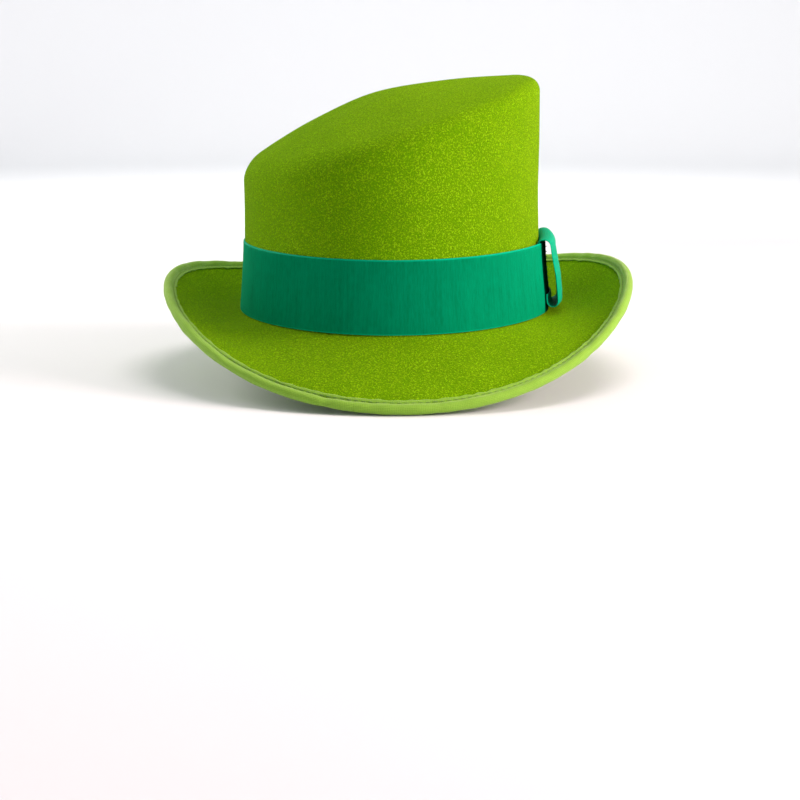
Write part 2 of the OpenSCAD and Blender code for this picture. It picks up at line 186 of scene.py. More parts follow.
class HatColours(bpy.types.PropertyGroup):
    """Colours of the felt, ribbons, tape and thread"""
    felt: colour("Felt", "Body colour of the felt", 0.155, 0.41, 0.0)
    # The nap colour is partly the fibres' own paler tips and partly painted light on the raised tips; the pit
    # colour is painted shade in the low places of the bump
    felt_nap_and_painted_light: colour("Felt nap", "Tips of the felt's nap", 0.42, 0.80, 0.01)
    felt_pit_painted_shade: colour("Felt pits", "Shaded pits between the fibres", 0.045, 0.20, 0.0)
    ribbon: colour("Ribbon", "Tops of the ribbon's ribs", 0.0, 0.305, 0.135)
    ribbon_groove: colour("Ribbon grooves", "Grooves between the ribs", 0.0, 0.14, 0.055)
    selvedge: colour("Selvedge", "Plain edge of the ribbon", 0.0, 0.40, 0.21)
    # Painted light: the loop's ribbon is the band's ribbon made lighter, standing in for its lit face
    loop: colour("Loop", "Ribbon of the loop", 0.01, 0.40, 0.215)
    # Painted shadow: a near-black colour laid on the band where the loop shades it, not a colour of the
    # ribbon
    shade: colour("Shade", "Stretch of the band that lies dark under the loop", 0.0, 0.03, 0.015)
    tape: colour("Tape", "Binding tape", 0.31, 0.55, 0.055)
    tape_shade: colour("Tape shade", "Darker yarns of the binding tape", 0.14, 0.33, 0.02)
    # Partly the thread's own green, darkened as painted shade for the shadow in its stitch holes
    thread: colour("Thread", "Stitches of the binding", 0.16, 0.33, 0.03)
    steel: colour("Steel", "Brim wire", 0.55, 0.56, 0.57)
    brass: colour("Brass", "Wire joiner", 0.60, 0.42, 0.14)


# ---------------------------------------------------------------- shape of the hat

def sizes():
    scene = bpy.context.scene
    return scene.hat_crown, scene.hat_brim, scene.hat_edge, scene.hat_ribbon


def stack(*parts):
    """Points from arrays of coordinates, broadcast to one shape."""
    return np.stack(np.broadcast_arrays(*parts), axis=-1)


def unit(vectors):
    return vectors / np.linalg.norm(vectors, axis=-1, keepdims=True)


def oval(t, d):
    """The crown's oval at turn t, moved out by d along its own normal."""
    crown = sizes()[0]
    ring = stack(crown.half_width * np.cos(t), crown.half_length * np.sin(t))
    normal = unit(stack(crown.half_length * np.cos(t), crown.half_width * np.sin(t)))
    return ring + normal * np.asarray(d)[..., None]


def dip(t):
    return -sizes()[0].headline_dip * np.sin(t) ** 2


def spread(t, z):
    """How far the crown's foot spreads at height z."""
    crown, _, _, ribbon = sizes()
    fade = np.maximum(0, 1 - z / ribbon.width)
    return (crown.foot_spread + crown.foot_lean * np.cos(t)) * fade ** 1.4


def side(t, d, z):
    """Point on the crown's side, d outside its outer face and z above the headline."""
    t, d, z = np.broadcast_arrays(t, d, z)
    p = oval(t, d + spread(t, z))
    return stack(p[..., 0], p[..., 1], z + dip(t))


def swell(t, z):
    """How far the band stands off the crown at turn t and height z."""
    ribbon = sizes()[3]
    turned = (t - ribbon.loop_turn + math.pi) % FULL_TURN - math.pi
    up = np.sqrt(np.clip(z / (0.3 * ribbon.width), 0, 1))
    return ribbon.swell * np.exp(-(turned / ribbon.swell_turn) ** 2) * (
        ribbon.swell_foot + (1 - ribbon.swell_foot) * up)


def by_band(t, d, z):
    """Point d outside the band's own line."""
    return side(t, d + swell(t, z), z)


def tip_height(t, r):
    """Height of the crown's outer face at share r of the way out from the middle."""
    crown = sizes()[0]
    start = 1 - crown.corner / crown.half_width
    q = np.clip((r - start) / (1 - start), 0, 1)
    plane = (math.tan(crown.tip_slope) * crown.half_width * r * np.cos(t)
             + math.tan(crown.tip_pitch) * crown.half_length * r * np.sin(t))
    dome = crown.dome_height * (1 - r ** crown.dome_power) * (1 - crown.dome_skew * r * np.cos(t))
    return crown.tip_height + plane + dome - crown.corner * (1 - np.sqrt(1 - q * q))


def edge_height(t):
    brim = sizes()[1]
    return (brim.edge_height + brim.curl * np.cos(2 * t) + brim.snap * np.sin(t) + brim.lean * np.cos(t)
            + brim.wave * (np.sin(2 * t) + np.cos(4 * t)))


def fall(t):
    brim = sizes()[1]
    return -brim.trough - brim.front_fall * np.maximum(0, -np.sin(t)) ** 2


def edge_room():
    """How far the wire and its joiner reach on each side of the wire's middle."""
    return sizes()[2].joiner / 2 + CLEAR


def bead_end():
    return 2 * edge_room() + sizes()[2].tape


def brim_span(t):
    brim = sizes()[1]
    edge = stack(brim.shift + (brim.half_width - bead_end()) * np.cos(t),
                 (brim.half_length - bead_end()) * np.sin(t))
    return edge - side(t, 0, 0)[..., :2]


def brim_point(t, s):
    """Top of the felt brim at share s of the way from the headline to its edge, with its two directions."""
    t, s = np.broadcast_arrays(t, s)
    start, span, low = side(t, 0, 0), brim_span(t), dip(t)
    rise = edge_height(t) - low
    p = stack(start[..., 0] + span[..., 0] * s, start[..., 1] + span[..., 1] * s,
              low + rise * s * s + fall(t) * s * (1 - s))
    slope = 2 * rise * s + fall(t) * (1 - 2 * s)
    out = unit(stack(span[..., 0], span[..., 1], slope))
    flat = np.hypot(out[..., 0], out[..., 1])
    up = stack(-out[..., 0] * out[..., 2] / flat, -out[..., 1] * out[..., 2] / flat, flat)
    return p, out, up


def share_in(t, inwards):
    """Share of the way to the felt's edge at a distance in from it."""
    span = brim_span(t)
    slope = 2 * (edge_height(t) - dip(t)) - fall(t)
    return 1 - inwards / np.sqrt(span[..., 0] ** 2 + span[..., 1] ** 2 + slope ** 2)


def edge_point(t, out, up):
    """Point out from the felt's edge and up from the felt's middle layer."""
    t, out, up = np.broadcast_arrays(t, out, up)
    p, _, normal = brim_point(t, share_in(t, np.maximum(0, -out)))
    outward = brim_point(t, np.ones_like(t))[1]
    return p + outward * np.maximum(0, out)[..., None] + normal * (up - sizes()[1].felt / 2)[..., None]


def gentle_noise(points, wavelength, seed):
    """Smooth unevenness between about -1 and 1, the same on every run."""
    rng = np.random.default_rng(seed)
    waves = unit(rng.normal(size=(14, 3))) * FULL_TURN / wavelength * rng.uniform(0.6, 1.6, (14, 1))
    phases = rng.uniform(0, FULL_TURN, 14)
    total = np.zeros(points.shape[:-1])
    for wave, phase in zip(waves, phases):
        total += np.sin(points @ wave + phase)
    return total / math.sqrt(14)


def turns(count):
    """Evenly spaced turns round the hat, without the last one."""
    return np.arange(count) * FULL_TURN / count


def run_length(points, axis):
    """Distance along a grid of points from its first row or column."""
    steps = np.linalg.norm(np.diff(points, axis=axis), axis=-1)
    zero = np.zeros_like(np.take(steps, [0], axis=axis))
    return np.concatenate([zero, np.cumsum(steps, axis=axis)], axis=axis)


# ---------------------------------------------------------------- meshes

def grid_faces(rows, cols, close_rows, close_cols):
    """Corner rows and columns of each face of a grid, before wrapping."""
    i, j = np.meshgrid(np.arange(rows if close_rows else rows - 1),
                       np.arange(cols if close_cols else cols - 1), indexing="ij")
    i, j = i.ravel(), j.ravel()
    return np.stack([i, i + 1, i + 1, i], 1), np.stack([j, j, j + 1, j + 1], 1)


def signed_volume(points, quads):
    a, b, c, d = (points[quads[:, k]] for k in range(4))
    return np.einsum("ij,ij->", a, np.cross(b, c)) + np.einsum("ij,ij->", a, np.cross(c, d))


def cloth_piece(name, grid, material, close_rows=True, close_cols=True, poles=(), nodes=(), uv=None):
    """A closed piece from a grid of points whose rows run round its section and columns along it.

    poles are the end points of a grid that is open along its rows. The open ends of a strip are capped
    between its two faces, which are the first and the second half of its rows."""
    rows, cols = grid.shape[:2]
    i, j = grid_faces(rows, cols, close_rows, close_cols)
    quads = (i % rows) * cols + j % cols
    points = grid.reshape(-1, 3)
    flip = signed_volume(points, quads) < 0
    corners = [quads[:, ::-1] if flip else quads]
    if uv is None:
        uv = stack(np.arange(cols + 1)[None, :] / cols, np.arange(rows + 1)[:, None] / rows)
    wraps = [uv[i, j][:, ::-1] if flip else uv[i, j]]
    for k, pole in enumerate(poles):
        row = 0 if k == 0 else rows - 1
        points = np.vstack([points, pole])
        ring = row * cols + np.arange(cols)
        fan = np.stack([ring, np.roll(ring, -1), np.full(cols, len(points) - 1)], 1)
        corners.append(fan if (k == 0) != flip else fan[:, ::-1])
        wraps.append(np.repeat(uv[row, :cols][:, None], 3, axis=1))
    if not close_cols:
        k = np.arange(rows // 2 - 1)
        pairs = np.stack([k, k + 1, rows - 2 - k, rows - 1 - k], 1)
        for col, backwards in ((0, flip), (cols - 1, not flip)):
            order = pairs if backwards else pairs[:, ::-1]
            corners.append(order * cols + col)
            wraps.append(uv[order, col])
    mesh = bpy.data.meshes.new(name)
    mesh.vertices.add(len(points))
    mesh.vertices.foreach_set("co", points.ravel())
    loops = np.concatenate([c.ravel() for c in corners])
    counts = np.concatenate([np.full(len(c), c.shape[1]) for c in corners])
    mesh.loops.add(len(loops))
    mesh.loops.foreach_set("vertex_index", loops.astype(np.int32))
    mesh.polygons.add(len(counts))
    mesh.polygons.foreach_set("loop_start", np.concatenate([[0], np.cumsum(counts)[:-1]]).astype(np.int32))
    mesh.update(calc_edges=True)
    layer = mesh.uv_layers.new(name=CLOTH_UV)
    layer.data.foreach_set("uv", np.concatenate([w.reshape(-1, 2) for w in wraps]).ravel())
    mesh.polygons.foreach_set("use_smooth", np.ones(len(counts), dtype=bool))
    mesh.update()
    return place(bpy.data.objects.new(name, mesh), material, nodes)


def place(piece, material, nodes):
    """Puts a piece in the scene, on the hat's one body, in place of its CAD nodes."""
    bpy.context.scene.collection.objects.link(piece)
    piece.data.materials.append(material)
    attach(piece, BODY)
    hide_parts(*nodes)
    return piece


def many_solids(name, solids, faces, material, nodes):
    """One piece from many equal solids: solids is an array of point sets, faces their shared quads."""
    count, size = solids.shape[:2]
    if signed_volume(solids[0], faces) < 0:
        faces = faces[:, ::-1]
    quads = (faces[None] + (np.arange(count) * size)[:, None, None]).reshape(-1, 4)
    mesh = bpy.data.meshes.new(name)
    mesh.from_pydata(solids.reshape(-1, 3).tolist(), [], quads.tolist())
    mesh.polygons.foreach_set("use_smooth", np.ones(len(quads), dtype=bool))
    mesh.update()
    return place(bpy.data.objects.new(name, mesh), material, nodes)


def thread_solids(a, b, up, thickness):
    """Short threads from points a to b, lying on a cloth with normals up, their ends dipping into it."""
    steps, around = 9, 8
    along = b - a
    across = unit(np.cross(along, up))
    normal = unit(np.cross(across, along))
    u = np.linspace(0, 1, steps)
    body = thickness / 2 * np.sqrt(np.clip(1 - (2 * u - 1) ** 4, 0.01, 1))
    arch = thickness * 0.35 * (np.sin(np.pi * u) - 1)
    angles = turns(around)
    rings = (a[:, None, None] + along[:, None, None] * u[None, :, None, None]
             + normal[:, None, None] * arch[None, :, None, None]
             + across[:, None, None] * (body[None, :, None] * np.cos(angles)[None, None, :])[..., None]
             + normal[:, None, None] * (body[None, :, None] * np.sin(angles)[None, None, :])[..., None])
    i, j = grid_faces(steps, around, False, True)
    faces = i * around + j % around
    start = np.array([[3, 2, 1, 0], [7, 4, 3, 0], [7, 6, 5, 4]])
    last = start[:, ::-1] + (steps - 1) * around
    return rings.reshape(len(a), steps * around, 3), np.vstack([faces, start, last])


# ---------------------------------------------------------------- finishes

class Value:
    """A shader socket that can be used in sums like a plain number."""

    def __init__(self, look, socket):
        self.look = look
        self.socket = socket

    def __add__(self, other):
        return self.look.maths("ADD", self, other)

    def __sub__(self, other):
        return self.look.maths("SUBTRACT", self, other)

    def __rsub__(self, other):
        return self.look.maths("SUBTRACT", other, self)

    def __mul__(self, other):
        return self.look.maths("MULTIPLY", self, other)

    def __truediv__(self, other):
        return self.look.maths("DIVIDE", self, other)

    def __rtruediv__(self, other):
        return self.look.maths("DIVIDE", other, self)

    def __abs__(self):
        return self.look.maths("ABSOLUTE", self)

    def sine(self):
        return self.look.maths("SINE", self)

    def at_least(self, other):
        return self.look.maths("MAXIMUM", self, other)

    __radd__ = __add__
    __rmul__ = __mul__


class Look:
    """A material and the nodes that make its finish."""

    def __init__(self, name):
        self.material = bpy.data.materials.new(name)
        self.material.use_nodes = True
        self.tree = self.material.node_tree
        self.shader = self.tree.nodes["Principled BSDF"]

    def node(self, kind, settings, values):
        """A node of this type; its settings are set first, then its inputs get numbers or links."""
        node = self.tree.nodes.new(kind)
        for key, value in settings.items():
            setattr(node, key, value)
        for key, value in values.items():
            self.feed(node.inputs[key], value)
        return node

    def feed(self, socket, value):
        if isinstance(value, Value):
            self.tree.links.new(value.socket, socket)
        else:
            socket.default_value = value

    def result(self, node, output=0):
        return Value(self, node.outputs[output])

    def maths(self, operation, *terms):
        return self.result(self.node("ShaderNodeMath", {"operation": operation}, dict(enumerate(terms))))

    def mix(self, factor, a, b):
        """Colour a changing to b as the factor goes from 0 to 1."""
        a, b = (c if isinstance(c, Value) else (*c, 1) for c in (a, b))
        return self.result(self.node("ShaderNodeMix", {"data_type": "RGBA"}, {0: factor, 6: a, 7: b}), 2)

    def stretch(self, where, x, y, z):
        """Coordinates multiplied by a number in each direction."""
        values = {0: where, 1: (x, y, z)}
        return self.result(self.node("ShaderNodeVectorMath", {"operation": "MULTIPLY"}, values))

    def place(self, output):
        return self.result(self.node("ShaderNodeTexCoord", {}, {}), output)

    def along_and_across(self):
        """Distances along and across a cloth, in metres."""
        parts = self.node("ShaderNodeSeparateXYZ", {}, {0: self.place("UV")})
        return self.result(parts, 0), self.result(parts, 1)

    def noise(self, where, size, detail=2.0, distortion=0.0):
        """Noise between 0 and 1 whose lumps are about this size."""
        values = {"Vector": where, "Scale": 1 / size, "Detail": detail, "Distortion": distortion}
        return self.result(self.node("ShaderNodeTexNoise", {}, values))

    def bump(self, height, distance, strength=1.0):
        values = {"Height": height, "Distance": distance, "Strength": strength}
        return self.result(self.node("ShaderNodeBump", {}, values))

    def finish(self, varying, fixed):
        """Feeds the shader: linked values for what varies and plain numbers for the rest."""
        for key, value in {**fixed, **varying}.items():
            self.feed(self.shader.inputs[key], value)
        return self.material


def felt_look(name, grain_size):
    """Wool felt: matted fibres with light tips and darker pits, a little uneven in large clouds. The light
    tips are partly painted light and the dark pits are painted shade, both following the bump.
    """
    tints = bpy.context.scene.hat_colours
    look = Look(name)
    where = look.place("Object")
    cloud_size = 22 * MM
    fibres = look.noise(where, grain_size * 0.35, 1, 1.5)
    tips = (look.noise(where, grain_size * 0.45, 0, 0.8) - 0.53) * 10
    clouds = look.noise(where, cloud_size, 2)
    height = tips.at_least(0) * 0.5 + fibres * 1.4
    # Painted shade: where the fibres sink in the bump, the felt takes the dark pit colour
    ground = look.mix((fibres - 0.3) * 4 + clouds * 0.4, tints.felt_pit_painted_shade, tints.felt)
    # Partly painted light: the raised tips take the pale nap colour
    nap = look.mix(tips * (clouds * 0.6 + 0.3), ground, tints.felt_nap_and_painted_light)
    return look.finish(
        {"Base Color": nap, "Roughness": 0.98 - fibres * 0.12, "Normal": look.bump(height, 0.7 * MM, 1.0)},
        {"Sheen Weight": 0.25, "Sheen Roughness": 0.4, "Sheen Tint": (0.80, 0.90, 0.02, 1),
         "Specular IOR Level": 0.02})


def ribbon_look(name, top, groove, edge, width, rib_relief, unshadowed_stretch=None):
    """Grosgrain ribbon: close ribs across the ribbon, a plain edge on each side.

    The last argument, when given, is the open stretch of the ribbon, from one length to another; outside it
    the ribbon gets painted shadow, a dark colour standing in for the loop's shade."""
    ribbon = bpy.context.scene.hat_ribbon
    look = Look(name)
    along, across = look.along_and_across()
    where = look.place("UV")
    yarn_size, streak_size, wear_size = 0.55 * MM, 1.6 * MM, 14 * MM
    edge_blend, painted_shadow_blend = 0.25 * MM, 1.5 * MM
    ribs = (along * (FULL_TURN / ribbon.rib) + math.pi / 2).sine()
    yarns = look.noise(look.stretch(where, 1, 0.12, 1), yarn_size, 2)
    streaks = look.noise(look.stretch(where, 1, 0.05, 1), streak_size, 2)
    wear = look.noise(where, wear_size, 2)
    near_edge = (abs(across / width - 0.5) - (0.5 - ribbon.selvedge / width)) * (width / edge_blend)
    cloth = look.mix(ribs * 0.35 + yarns * 0.9 + streaks * 0.8 + wear * 0.25 - 0.38, groove, top)
    relief = ribs * rib_relief + yarns * 0.45
    face = look.mix(near_edge, cloth, edge)
    # Painted shadow: outside the open stretch the ribbon takes a dark colour that stands in for the loop's
    # shade
    if unshadowed_stretch:
        start, end = unshadowed_stretch
        near_middle = (end - start) / 2 - abs(along - (start + end) / 2)
        face = look.mix(near_middle / painted_shadow_blend, bpy.context.scene.hat_colours.shade, face)
    return look.finish(
        {"Base Color": face, "Roughness": 0.55 + yarns * 0.25,
         "Normal": look.bump(relief, 0.12 * MM, 0.7)},
        {"Sheen Weight": 0.04, "Sheen Roughness": 0.35, "Sheen Tint": (0.0, 1.0, 0.7, 1),
         "Specular IOR Level": 0.05, "Specular Tint": (0.0, 1.0, 0.7, 1)})


def tape_look():
    """Knitted binding tape: small loops in rows."""
    tints = bpy.context.scene.hat_colours
    look = Look("binding_tape")
    along, across = look.along_and_across()
    where = look.place("UV")
    row_pitch, loop_pitch, fuzz_size, wander_size = 0.85 * MM, 1.0 * MM, 0.4 * MM, 3 * MM
    wander = look.noise(where, wander_size, 2)
    rows = (across * (FULL_TURN / row_pitch) + wander * 3).sine()
    loops = (along * (FULL_TURN / loop_pitch) + rows * 0.9 + wander * 4).sine()
    fuzz = look.noise(where, fuzz_size, 3)
    height = rows * 0.35 + loops * 0.35 + fuzz * 0.6
    colour_share = rows * 0.14 + loops * 0.16 + fuzz * 0.8 + wander * 0.25 + 0.02
    return look.finish(
        {"Base Color": look.mix(colour_share, tints.tape_shade, tints.tape), "Roughness": 0.75 + fuzz * 0.2,
         "Normal": look.bump(height, 0.18 * MM, 0.8)},
        {"Sheen Weight": 0.45, "Sheen Roughness": 0.3, "Sheen Tint": (0.95, 1.0, 0.7, 1),
         "Specular IOR Level": 0.25})


def thread_look(name, tint):
    look = Look(name)
    strands = look.noise(look.place("Object"), 0.35 * MM, 1)
    dark = tuple(c * 0.6 for c in tint)
    return look.finish({"Base Color": look.mix(strands, dark, tint), "Normal": look.bump(strands, 0.08 * MM)},
                       {"Roughness": 0.6, "Sheen Weight": 0.15})


def metal_look(name, tint, roughness):
    look = Look(name)
    streaks = look.noise(look.stretch(look.place("Object"), 1, 1, 8), 1.5 * MM, 3)
    return look.finish({"Base Color": look.mix(streaks, tuple(c * 0.75 for c in tint), tint),
                        "Roughness": roughness + streaks * 0.15},
                       {"Metallic": 1.0})


def plain_look(name, tint, roughness):
    look = Look(name)
    return look.finish({}, {"Base Color": (*tint, 1), "Roughness": roughness, "Specular IOR Level": 0.2})


def give_look(node, material):
    """A CAD node that stays in view takes a finish."""
    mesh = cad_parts[node].data
    mesh.materials.clear()
    mesh.materials.append(material)


# ---------------------------------------------------------------- pieces

def crown_face(t, d, dome_rows, corner_rows, side_rows):
    """Grid over one face of the crown, d inside its outer face, from the middle of the tip to the foot."""
    crown = sizes()[0]
    start = 1 - crown.corner / crown.half_width
    dome = np.linspace(0.02, start, dome_rows, endpoint=False)
    corner = 1 - (1 - start) * (1 - np.sin(np.linspace(0, math.pi / 2, corner_rows)))
    r = np.concatenate([dome, corner])[:, None]
    q = np.clip(1 - (1 - r) * crown.half_width / crown.corner, 0, 1)
    top = tip_height(t[None, :], r) - d * np.sqrt(1 - q * q)
    flat = oval(t, np.full_like(t, -d))[None] * r[..., None]
    tip = stack(flat[..., 0], flat[..., 1], top)
    low = np.linspace(1, 0, side_rows + 1)[1:, None]
    wall = side(t[None, :], -d, (tip_height(t, 1.0) - dip(t))[None, :] * low)
    return np.concatenate([tip, wall])


def build_crown():
    crown = sizes()[0]
    t = turns(480)
    outer = crown_face(t, 0.0, 46, 14, 60)
    away = unit(outer - outer.mean(axis=(0, 1)))
    outer = outer + away * (gentle_noise(outer, 60 * MM, 3) * crown.lumps)[..., None]
    inner = crown_face(t, crown.felt, 20, 8, 24)
    grid = np.concatenate([outer, inner[::-1]])
    top = crown.tip_height + crown.dome_height
    poles = np.array([[0, 0, top], [0, 0, top - crown.felt]])
    return cloth_piece("felt_crown", grid, felt_look("crown_felt", 1.5 * MM),
                       close_rows=False, poles=poles, nodes=["crown"])


def build_brim():
    crown, brim, _, _ = sizes()
    t = turns(600)
    inset = crown.felt + brim.felt + CLEAR
    top_collar = side(t[None, :], -crown.felt - CLEAR, np.linspace(brim.collar, -CLEAR, 8)[:, None])
    low_collar = side(t[None, :], -inset, np.linspace(brim.collar, -brim.felt / 2, 8)[:, None])
    shares = np.linspace(0, 1, 64)[:, None]
    p, _, up = brim_point(t[None, :], shares)
    lumps = gentle_noise(p, 45 * MM, 5) * crown.lumps * np.sin(np.pi * shares)
    middle = p + up * lumps[..., None]
    top = middle - up * (CLEAR * (1 - shares))[..., None]
    under = middle - up * (brim.felt + CLEAR * (1 - shares))[..., None]
    grid = np.concatenate([top_collar, top, under[::-1], low_collar[::-1]])
    return cloth_piece("felt_brim", grid, felt_look("brim_felt", 1.5 * MM), nodes=["brim"])


def binding_section():
    """Out and up distances of the binding's upper half, from its inner lip to its outermost point."""
    _, brim, edge, _ = sizes()
    half_felt = brim.felt / 2
    groove = edge.bead - bead_end()
    lip_top = half_felt + TAPE_ROOM + edge.tape
    floor = half_felt + edge.thread
    start = -groove - edge.thread - edge.lip
    corner = 0.35 * MM
    bulge = 0.12 * MM
    section = [(start + corner * (1 + math.cos(a)), lip_top - corner * (1 - math.sin(a)))
               for a in np.linspace(math.pi, 0.5 * math.pi, 5)]
    section += [(start + edge.lip * s, lip_top + bulge * math.sin(math.pi * s)) for s in (0.4, 0.6, 0.8)]
    section += [(-groove - edge.thread * 0.9, lip_top - CLEAR), (-groove - edge.thread * 0.5, floor)]
    middle = edge.bead / 2 - groove
    groove_side = 2.6
    for a in np.linspace(math.pi, 0, 17)[1:]:
        height = edge.bead_thickness / 2 * math.sin(a) ** 0.85
        if a > groove_side:
            height = max(floor, height)
        section.append((middle + edge.bead / 2 * math.cos(a), height))
    return np.array(section)


def build_binding():
    _, brim, edge, _ = sizes()
    count = round(math.pi * (brim.half_width + brim.half_length - 2 * bead_end()) / edge.pitch)
    t = turns(count * 8)
    upper = binding_section()
    outer = np.concatenate([upper, upper[-2::-1] * [1, -1]])
    inside_lift = brim.felt / 2 + TAPE_ROOM
    reach = 2 * edge_room() - CLEAR
    inner = np.array([(upper[0][0] + 0.3 * MM, inside_lift), (0, inside_lift), (reach, inside_lift * 0.9)])
    inner = np.concatenate([inner, inner[::-1] * [1, -1]])[::-1]
    section = np.concatenate([outer, inner])
    out, up = section[:, 0][:, None], section[:, 1][:, None]
    stitch = np.cos(t * count)[None, :] * 0.5 + 0.5
    groove = edge.bead - bead_end()
    near = np.exp(-((out + groove) / (0.9 * MM)) ** 2)
    rim = edge_point(t[None, :], 0.0, 0.0)
    unevenness = 0.10
    puff = gentle_noise(rim, 16 * MM, 11) * unevenness
    fullness = 1 + puff * (out > -groove) - near * stitch * unevenness
    lip_wave = (out < -groove - edge.lip * 0.5) * gentle_noise(rim, 9 * MM, 12) * 0.3 * MM
    grid = edge_point(t[None, :], out + lip_wave, up * fullness)
    lengths = np.concatenate([[0], np.cumsum(np.linalg.norm(np.diff(section, axis=0), axis=1)), [0]])
    girth = math.pi * (brim.half_width + brim.half_length)
    uv = stack(np.arange(len(t) + 1)[None, :] / len(t) * girth, lengths[:, None])
    tape = cloth_piece("edge_binding_tape", grid, tape_look(), nodes=["edge_binding"], uv=uv)
    starts = turns(count) + FULL_TURN / count * 0.15
    ends = starts + FULL_TURN / count * 0.7
    lift = brim.felt / 2 + edge.thread * 1.3
    tints = bpy.context.scene.hat_colours
    threads = []
    for face in (1, -1):
        normals = brim_point(starts, np.ones_like(starts))[2] * face
        a, b = (edge_point(at, -groove * 1.08, face * lift) for at in (starts, ends))
        solids, faces = thread_solids(a, b, normals, edge.thread)
        threads.append(solids)
    # The binding stitches take the thread colour, darkened as painted shade of the stitch holes
    many_solids("edge_binding_stitches", np.concatenate(threads), faces,
                thread_look("binding_thread", tints.thread), ["binding_stitches"])
    give_look("brim_wire", metal_look("steel_wire", tints.steel, 0.28))
    give_look("wire_joiner", metal_look("brass", tints.brass, 0.32))
    return tape


def round_edge(distance, radius, least):
    """Share of the full thickness at a distance in from a rounded edge."""
    return np.sqrt(np.clip(1 - (1 - np.clip(distance / radius, 0, 1)) ** 2, least, 1))


def ribbon_strip(name, material, nodes, line, t, low, high, near, thick, ribs, closed):
    """A ribbon standing round the crown between two heights, its inner face at a distance out from a line."""
    crown, _, _, ribbon = sizes()
    radius = (crown.half_width + crown.half_length) / 2
    along = t * radius
    heights = low + (high - low) * (0.5 - 0.5 * np.cos(np.linspace(0, math.pi, 18)))
    across = heights - low
    edge_distance = np.minimum(across, high - low - across)[:, None]
    plain = np.clip(edge_distance / ribbon.selvedge, 0, 1)
    rounded = thick / 2 * (1 - round_edge(edge_distance, thick / 2, 0))
    rib = np.cos(along * FULL_TURN / ribbon.rib)[None, :] * ribs * (plain > 0.99)
    outer = line(t[None, :], near + thick - ribs - rounded + rib, heights[:, None])
    inner = line(t[None, :], near, heights[::-1][:, None])
    grid = np.concatenate([outer, inner])
    v = np.concatenate([across, across[::-1], [0]])
    u = np.append(along, t[0] * radius + FULL_TURN * radius)
    uv = stack(u[None, :], v[:, None])
    return cloth_piece(name, grid, material, close_cols=closed, nodes=nodes, uv=uv)


def build_band():
    crown, _, edge, ribbon = sizes()
    tints = bpy.context.scene.hat_colours
    half_gap = 0.5 * MM / crown.half_length
    radius = (crown.half_width + crown.half_length) / 2
    girth = FULL_TURN * radius
    count = int(girth / ribbon.rib) * 4
    t = ribbon.loop_turn + np.linspace(half_gap, FULL_TURN - half_gap, count)
    # Painted shadow: where the loop covers the band, the band takes a dark colour for the loop's shade; the
    # open stretch is the rest of the band
    hidden = ribbon.loop_width / 2 / crown.half_length
    unshadowed_band_stretch = [radius * (ribbon.loop_turn + at) for at in (hidden, FULL_TURN - hidden)]
    material = ribbon_look("band_ribbon", tints.ribbon, tints.ribbon_groove, tints.selvedge,
                           ribbon.width, 0.1, unshadowed_band_stretch)
    band = ribbon_strip("ribbon_band", material, ["hat_band"], by_band, t, ribbon.lift,
                        ribbon.lift + ribbon.width, CLEAR, ribbon.thickness, ribbon.rib_height, False)
    lowest, top_room, step, reach = 12 * MM, 2 * MM, 3 * MM, 2 * MM
    heights = np.arange(ribbon.lift + lowest, ribbon.lift + ribbon.width - top_room, step)
    turn = np.full_like(heights, reach / crown.half_length)
    out = CLEAR + ribbon.thickness + edge.thread * 0.55
    solids, faces = thread_solids(by_band(ribbon.loop_turn - turn, out, heights),
                                  by_band(ribbon.loop_turn + turn, out, heights),
                                  np.tile([1.0, 0, 0], (len(heights), 1)), edge.thread)
    many_solids("band_joining_stitches", solids, faces, thread_look("band_thread", tints.ribbon_groove),
                ["band_join_stitches"])
    return band


def boxy(x, power=0.75):
    """Sine or cosine whose circle is pushed out towards a square."""
    return np.sign(x) * np.abs(x) ** power


def smooth_through(points, count):
    """Evenly spaced points on a smooth line through the given ones."""
    knots = np.concatenate([[0], np.cumsum(np.linalg.norm(np.diff(points[:, :2], axis=0), axis=1))])
    where = np.linspace(0, knots[-1], count)
    line = np.stack([np.interp(where, knots, points[:, k]) for k in range(points.shape[1])], 1)
    for _ in range(6):
        line[1:-1] = (line[:-2] + 2 * line[1:-1] + line[2:]) / 4
    return line


def loop_path():
    """The middle of the loop's ribbon: its distance out and its height, and its shares of swell and tilt."""
    ribbon = sizes()[3]
    half = ribbon.loop_thickness / 2
    band_out = CLEAR + ribbon.thickness
    band_top = ribbon.lift + ribbon.width
    start = 3 * CLEAR + half
    foot = band_out + 3 * CLEAR + half
    out = band_out + ribbon.loop_clear + half
    head_wide, head_high = (out - start) / 2, 6 * MM
    foot_wide, foot_high = (out + ribbon.loop_splay - foot) / 2, 3.2 * MM
    head_z = band_top + ribbon.loop_rise - half - head_high
    foot_z = ribbon.lift + ribbon.loop_foot + half + foot_high
    over = np.linspace(math.pi, 0, 40)
    under = np.linspace(0, -math.pi, 24)
    across = 1 + boxy(np.cos(over))
    bend_room, end_length = 2 * MM, 4 * MM
    leg = stack(start, np.linspace(band_top - ribbon.loop_leg, head_z - bend_room, 8), 0.0,
                np.linspace(0, 1, 8))
    head = stack(start + head_wide * across, head_z + head_high * boxy(np.sin(over)), across / 2, 1.0)
    middle = np.array([[out + ribbon.loop_splay, (head_z + foot_z) / 2, 1, 0.5]])
    turn_in = stack(foot + foot_wide * (1 + np.cos(under)), foot_z + foot_high * np.sin(under), 1.0, 0.0)
    end = np.array([[foot, foot_z + end_length, 1, 0]])
    return smooth_through(np.concatenate([leg, head, middle, turn_in, end]), 260)


def loop_point(p, k):
    """Point of the loop at share k of the way across from its middle, from -1 in front to 1 at the back."""
    crown, _, _, ribbon = sizes()
    t = ribbon.loop_turn + k * ribbon.loop_width / 2 / crown.half_length
    out, height, swell_share, tilt_share = np.moveaxis(p, -1, 0)
    return side(t, out + swell_share * swell(t, height), height + tilt_share * k * ribbon.loop_tilt / 2)


